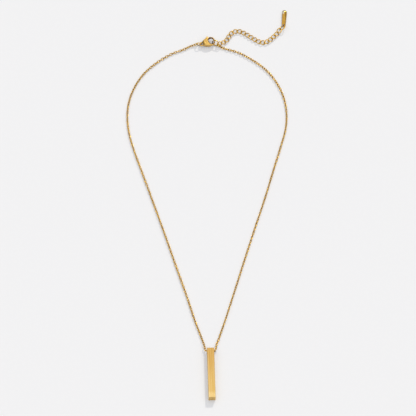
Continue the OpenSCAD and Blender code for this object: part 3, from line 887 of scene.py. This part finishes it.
class NECKLACE_OT_fine_chain(bpy.types.Operator):
    """Lay the fine cable chain, link by link, from the clasp through the bar and back"""

    bl_idname = "necklace.fine_chain"
    bl_label = "Lay the fine chain"

    def execute(self, context):
        scene = context.scene
        sizes, plating = scene.necklace_chain, scene.necklace_plating
        lies = lie(scene)
        wire, width, pitch = sizes.wire / MM, sizes.width / MM, sizes.pitch / MM
        half_w = (width - wire) / 2
        lowest = math.sin(math.radians(CROSS_ROLL) + sizes.sway + sizes.twist)
        floor_z = half_w * lowest + wire / 2 + CHAIN_LIFT
        upright_z = width / 2 + CHAIN_LIFT

        def strand(side, points):
            """A strand's chosen points, from the bar's side to the last one before its run in."""
            near = [Vector((side * (BAR_W / 2 + x), THREAD_Y + y, THREAD_Z - s * (THREAD_Z - floor_z)))
                    for x, y, s in LEAVE]
            far = [Vector((x * LOOP_L, y * LOOP_L + BORE_Y, floor_z)) for x, y in points]
            return near + far

        def run_in(hold):
            """The last points of a strand, which end at its end link."""
            link, way, _ = hold
            stop = link + END_RUN * way
            level = Vector((way.x, way.y, 0)).normalized()
            rest = stop + END_STRAIGHT * level
            return [Vector((rest.x, rest.y, upright_z)), stop, link]

        left = strand(-1, LEFT) + run_in(lies["left_link"])
        right = strand(1, RIGHT) + run_in(lies["right_link"])
        route = left[::-1] + [Vector((0, THREAD_Y, THREAD_Z))] + right
        line = curve(route, STRAND_STEP)
        _, length = spaced(line, [0.0])
        count = round(length / pitch)
        step = length / count
        # A link lies between each pair of joints, and both end links are pieces of their own
        joints, _ = spaced(line, [(i + 0.5) * step for i in range(count)])

        def nearest(roll):
            """The same roll within 90 degrees of the crossed one; a link looks the same half a turn on."""
            return (roll - CROSS_ROLL + 90) % 180 - 90 + CROSS_ROLL

        left_roll = nearest(lies["left_link"][2])
        right_roll = nearest(lies["right_link"][2] - 90 * count)
        rolls = []
        for place in range(1, count):
            to_left, to_right = min(place / END_LINKS, 1.0), min((count - place) / END_LINKS, 1.0)
            free = CROSS_ROLL + math.degrees(sizes.twist) * math.sin(2 * math.pi * place / TWIST_LINKS)
            base = free
            if to_left < 1:
                base = left_roll + (free - left_roll) * to_left
            if to_right < 1:
                base = right_roll + (free - right_roll) * to_right
            rolls.append(base + 90 * place)
        reach = (pitch + wire + LINK_PLAY) / 2
        straight = reach - half_w
        oval = []
        for i in range(FINE_POINTS):
            t = 2 * math.pi * (i + 0.5) / FINE_POINTS
            side = straight if math.cos(t) > 0 else -straight
            oval.append(Vector((side + half_w * math.cos(t), half_w * math.sin(t), 0)) * MM)
        link = swept_loop("fine_link", oval, wire / 2 * MM, FINE_SIDES)
        # Each point's share of the way out to the link's bend, by which the chain's plating paints shade
        # there
        bends = link.attributes.new("bend", "FLOAT", "POINT")
        for i, vertex in enumerate(link.vertices):
            bends.data[i].value = abs(vertex.co.x) / (reach * MM)
        gold = chain_plating("fine_chain_gold", plating.chain)
        chain = row_of_links("fine_chain", joints, rolls, link, gold, sizes.sway, seed=7)
        finished(chain, gold)
        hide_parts("chain_left", "chain_right")
        for name in ("chain_end_left", "chain_end_right"):
            plate(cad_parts[name], gold)
        return {"FINISHED"}


def casting(name, node, grain, tumbling):
    """A copy of a solid with its edges rounded as a tumbled casting's are."""
    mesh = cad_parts[node].data.copy()
    mesh.materials.clear()
    low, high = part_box(node)
    middle = (low + high) / 2
    mesh.transform(Matrix.Translation(-middle))
    mesh.transform(Matrix.Scale(1 / MM, 4))
    bm = bmesh.new()
    bm.from_mesh(mesh)
    bmesh.ops.remove_doubles(bm, verts=bm.verts, dist=1e-4)
    bm.to_mesh(mesh)
    bm.free()
    piece = new_piece(name, mesh)
    skin = piece.modifiers.new("skin", "REMESH")
    skin.mode = "VOXEL"
    skin.voxel_size = grain / MM
    skin.adaptivity = 0.0
    soft = piece.modifiers.new("soft", "SMOOTH")
    soft.factor = 0.5
    soft.iterations = tumbling
    done = built(piece, name)
    piece.modifiers.clear()
    done.transform(Matrix.Scale(MM, 4))
    done.transform(Matrix.Translation(middle))
    piece.data = done
    return piece


class NECKLACE_OT_clasp(bpy.types.Operator):
    """Cast the lobster clasp's body and lever, and plate the rivet"""

    bl_idname = "necklace.clasp"
    bl_label = "Cast the clasp"

    def execute(self, context):
        scene = context.scene
        sizes, plating = scene.necklace_castings, scene.necklace_plating
        gold = clasp_plating("clasp_gold", plating.clasp)
        body = casting("clasp_casting", "clasp_body", sizes.grain, sizes.tumbling)
        finished(body, gold)
        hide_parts("clasp_body")
        lever = casting("lever_casting", "clasp_lever", sizes.grain, sizes.tumbling)
        finished(lever, gold, "lever")
        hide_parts("clasp_lever")
        plate(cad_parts["clasp_rivet"], gold)
        return {"FINISHED"}


class NECKLACE_OT_rings(bpy.types.Operator):
    """Wind the three jump rings, each with its cut"""

    bl_idname = "necklace.rings"
    bl_label = "Wind the rings"

    def execute(self, context):
        scene = context.scene
        gold = polished_plating("ring_gold", scene.necklace_plating.links, gloss=0.27, haze=0.08,
                                joint=0.04, reach=2.0)
        cut = math.degrees(scene.necklace_rings.cut)
        lies = lie(scene)
        for name in ("end_ring", "tail_ring", "tag_ring"):
            place, turn, lean, r, wire, cut_at = lies[name]
            arc = []
            for i in range(RING_STEPS + 1):
                a = math.radians(cut_at + cut / 2 + (360 - cut) * i / RING_STEPS)
                arc.append(Vector((r * math.cos(a), r * math.sin(a), 0)) * MM)
            mesh = swept_loop(name + "_wound", arc, wire / 2 * MM, RING_SIDES, closed=False)
            turned = Matrix.Translation(place * MM) @ Matrix.Rotation(math.radians(turn), 4, "Z")
            mesh.transform(turned @ Matrix.Rotation(math.radians(lean), 4, "X"))
            ring = new_piece(name + "_wound", mesh)
            finished(ring, gold)
            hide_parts(name)
        return {"FINISHED"}


class NECKLACE_OT_extender(bpy.types.Operator):
    """Lay the curb extender, link by link, along its route"""

    bl_idname = "necklace.extender"
    bl_label = "Lay the extender"

    def execute(self, context):
        scene = context.scene
        sizes = scene.necklace_extender
        wire, width, pitch = sizes.wire / MM, sizes.width / MM, sizes.pitch / MM
        reach = (pitch + wire + EXTENDER_PLAY) / 2
        half_w = (width - wire) / 2
        line = []
        for i in range(CURB_POINTS):
            t = 2 * math.pi * i / CURB_POINTS
            roll = sizes.twist * math.cos(t)
            line.append(Vector((
                reach * math.cos(t), half_w * math.sin(t) * math.cos(roll),
                half_w * math.sin(t) * math.sin(roll))) * MM)
        link = swept_loop("curb_link", line, wire / 2 * MM, CURB_SIDES)
        gold = polished_plating("extender_gold", scene.necklace_plating.links, gloss=0.27, haze=0.08,
                                joint=0.16, reach=0.9)
        joints = lie(scene)["extender_joints"]
        chain = row_of_links("extender_chain", joints, [0.0] * EXTENDER_LINKS, link, gold, sway=0.0, seed=3)
        finished(chain, gold)
        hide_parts(*[f"extender_link_{i:02d}" for i in range(1, EXTENDER_LINKS + 1)])
        return {"FINISHED"}


class NECKLACE_OT_tag(bpy.types.Operator):
    """Polish the puffed drop tag"""

    bl_idname = "necklace.tag"
    bl_label = "Polish the tag"

    def execute(self, context):
        scene = context.scene
        sizes = scene.necklace_castings
        tag = casting("drop_tag", "tag", sizes.grain, sizes.tag_tumbling)
        finished(tag, tag_plating("tag_gold", scene.necklace_plating.tag))
        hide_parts("tag")
        return {"FINISHED"}


class NECKLACE_OT_stage(bpy.types.Operator):
    """Set the pale surface, the soft light and the camera"""

    bl_idname = "necklace.stage"
    bl_label = "Set the stage"

    def execute(self, context):
        scene = context.scene
        stage = scene.necklace_stage

        half = SURFACE_HALF
        mesh = bpy.data.meshes.new("white_surface")
        mesh.from_pydata([(-half, -half, 0), (half, -half, 0), (half, half, 0), (-half, half, 0)],
                         [], [(0, 1, 2, 3)])
        surface = new_piece("white_surface", mesh)
        paper, tree, shader, place = start_material("white_card")
        grain = ramp(tree, stretched_noise(tree, place, (1, 1, 1), 0.5, 2), 0.3, 0.7, 0.0, 1.0)
        white = blend_colours(tree, grain, *[grey(value) for value in SURFACE_WHITES])
        tree.links.new(white, shader.inputs["Base Color"])
        shader.inputs["Roughness"].default_value = 0.9
        shader.inputs["Specular IOR Level"].default_value = 0.0
        shader.inputs["Emission Color"].default_value = grey(1.0)
        shader.inputs["Emission Strength"].default_value = stage.surface_glow
        mesh.materials.append(paper)

        lamp = bpy.data.objects.new("key_light", bpy.data.lights.new("key_light", "SUN"))
        lamp.data.energy = stage.lamp_power
        lamp.data.angle = stage.lamp_spread
        lamp.data.color = LAMP_COLOUR
        flat = LAMP_WAY.normalized()
        towards = flat * math.cos(stage.lamp_height) + Vector((0, 0, math.sin(stage.lamp_height)))
        lamp.rotation_euler = towards.to_track_quat("Z", "Y").to_euler()
        scene.collection.objects.link(lamp)

        world = bpy.data.worlds.new("soft_studio")
        scene.world = world
        world.use_nodes = True
        tree = world.node_tree
        tree.nodes.clear()
        out = tree.nodes.new("ShaderNodeOutputWorld")
        glow = tree.nodes.new("ShaderNodeBackground")
        glow.inputs["Strength"].default_value = stage.room_light
        way = tree.nodes.new("ShaderNodeTexCoord").outputs["Generated"]
        split = tree.nodes.new("ShaderNodeSeparateXYZ")
        tree.links.new(way, split.inputs[0])
        height = tree.nodes.new("ShaderNodeValToRGB")
        stops = height.color_ramp.elements
        for at, _ in ROOM_GREYS[1:-1]:
            stops.new(at)
        for stop, (_, value) in zip(stops, ROOM_GREYS):
            stop.color = grey(value)
        tree.links.new(split.outputs["Z"], height.inputs[0])
        facing = worked(tree, "VectorMath", "DOT_PRODUCT", way, flat)
        side = ramp(tree, facing.outputs["Value"], -1, 1, 1 - stage.room_side, 1 + stage.room_side, False)
        evened = tree.nodes.new("ShaderNodeMix")
        tree.links.new(ramp(tree, split.outputs["Z"], *LEAN_FADE, 0.0, 1.0), evened.inputs["Factor"])
        tree.links.new(side, evened.inputs["A"])
        evened.inputs["B"].default_value = 1.0
        cool = blend_colours(tree, 1.0, height.outputs[0], (*ROOM_TINT, 1), "MULTIPLY")
        lit = worked(tree, "VectorMath", "SCALE", cool)
        tree.links.new(evened.outputs["Result"], lit.inputs["Scale"])
        tree.links.new(lit.outputs[0], glow.inputs["Color"])
        tree.links.new(glow.outputs[0], out.inputs["Surface"])

        lens = bpy.data.cameras.new("camera")
        lens.sensor_width = 36.0
        lens.lens = 36.0 * stage.view_distance / stage.view_width
        lens.clip_start = 0.1
        lens.clip_end = 100.0
        camera = bpy.data.objects.new("camera", lens)
        scene.collection.objects.link(camera)
        target = VIEW_TARGET * MM
        a, e = stage.view_turn, stage.view_height
        ahead = Vector((math.cos(e) * math.sin(a), math.cos(e) * math.cos(a), -math.sin(e)))
        camera.location = target - ahead * stage.view_distance
        camera.rotation_euler = Euler((math.pi / 2 - e, 0, -a))
        scene.camera = camera
        scene.view_settings.view_transform = "Standard"
        scene.view_settings.look = "None"
        return {"FINISHED"}


class NECKLACE_PT_panel(bpy.types.Panel):
    """Lists the pieces of the necklace and their sizes"""

    bl_idname = "NECKLACE_PT_panel"
    bl_label = "Bar Pendant Necklace"
    bl_space_type = "VIEW_3D"
    bl_region_type = "UI"
    bl_category = "Necklace"

    def draw(self, context):
        for name, group in SETTINGS.items():
            box = self.layout.box()
            settings = getattr(context.scene, name)
            for prop in group.__annotations__:
                box.prop(settings, prop)
        for operator in OPERATORS:
            self.layout.operator(operator.bl_idname)


OPERATORS = (
    NECKLACE_OT_bar,
    NECKLACE_OT_fine_chain,
    NECKLACE_OT_clasp,
    NECKLACE_OT_rings,
    NECKLACE_OT_extender,
    NECKLACE_OT_tag,
    NECKLACE_OT_stage,
)


def register():
    for cls in (*SETTINGS.values(), *OPERATORS, NECKLACE_PT_panel):
        bpy.utils.register_class(cls)
    for name, group in SETTINGS.items():
        setattr(bpy.types.Scene, name, bpy.props.PointerProperty(type=group))


def unregister():
    for name in SETTINGS:
        delattr(bpy.types.Scene, name)
    for cls in reversed((*SETTINGS.values(), *OPERATORS, NECKLACE_PT_panel)):
        bpy.utils.unregister_class(cls)


def main():
    register()
    bpy.ops.necklace.bar()
    bpy.ops.necklace.fine_chain()
    bpy.ops.necklace.clasp()
    bpy.ops.necklace.rings()
    bpy.ops.necklace.extender()
    bpy.ops.necklace.tag()
    bpy.ops.necklace.stage()


if __name__ == "__main__":
    main()
